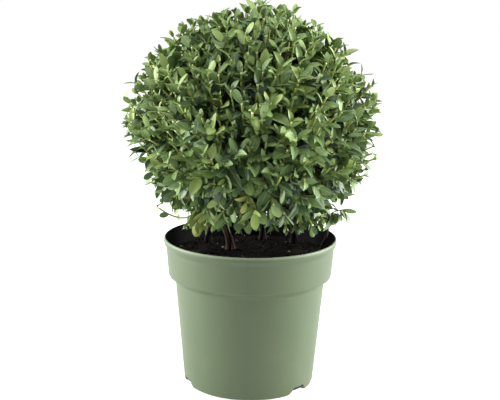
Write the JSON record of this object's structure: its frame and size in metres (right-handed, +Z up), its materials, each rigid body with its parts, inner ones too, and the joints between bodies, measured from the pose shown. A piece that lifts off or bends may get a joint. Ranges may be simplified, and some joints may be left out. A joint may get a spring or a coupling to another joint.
{
  "type": "clipped box ball in a nursery pot",
  "caption": "Round clipped box shrub with small glossy leaves on woody stems, growing in a tapered green plastic nursery pot with a banded rim.",
  "frame": {"origin": "on the ground, under the middle of the pot", "axes": "+Z up along the pot's axis; -Y towards the front, +X to the right seen from the front"},
  "size_m": [0.2847, 0.2852, 0.4256],
  "materials": {
    "pot": "sage green moulded plastic, slightly satin",
    "soil": "damp dark peat compost",
    "bark": "thin grey-brown bark, reddish on the young wood",
    "leaves": "glossy mid green box leaves, yellower at the shoot tips"
  },
  "bodies": {
    "root": {"pot": "pot", "potting_soil": "soil", "stem_left": "bark", "bough_shoulder_back_left": "bark", "bough_waist_back_left": "bark", "bough_waist_left": "bark", "stem_centre": "bark", "bough_shoulder_front_left": "bark", "bough_waist_front": "bark", "bough_skirt_front_left": "bark", "stem_right": "bark", "bough_shoulder_front_right": "bark", "bough_waist_right": "bark", "bough_skirt_right": "bark", "stem_back": "bark", "bough_top": "bark", "bough_shoulder_back_right": "bark", "bough_waist_back_right": "bark", "bough_skirt_back": "bark", "side_shoot": "bark", "foliage_top": "leaves", "foliage_shoulder_front_left": "leaves", "foliage_shoulder_front_right": "leaves", "foliage_shoulder_back_right": "leaves", "foliage_shoulder_back_left": "leaves", "foliage_waist_front": "leaves", "foliage_waist_right": "leaves", "foliage_waist_back_right": "leaves", "foliage_waist_back_left": "leaves", "foliage_waist_left": "leaves", "foliage_skirt_front_left": "leaves", "foliage_skirt_right": "leaves", "foliage_skirt_back": "leaves", "foliage_side_spray": "leaves"}
  },
  "joints": []
}
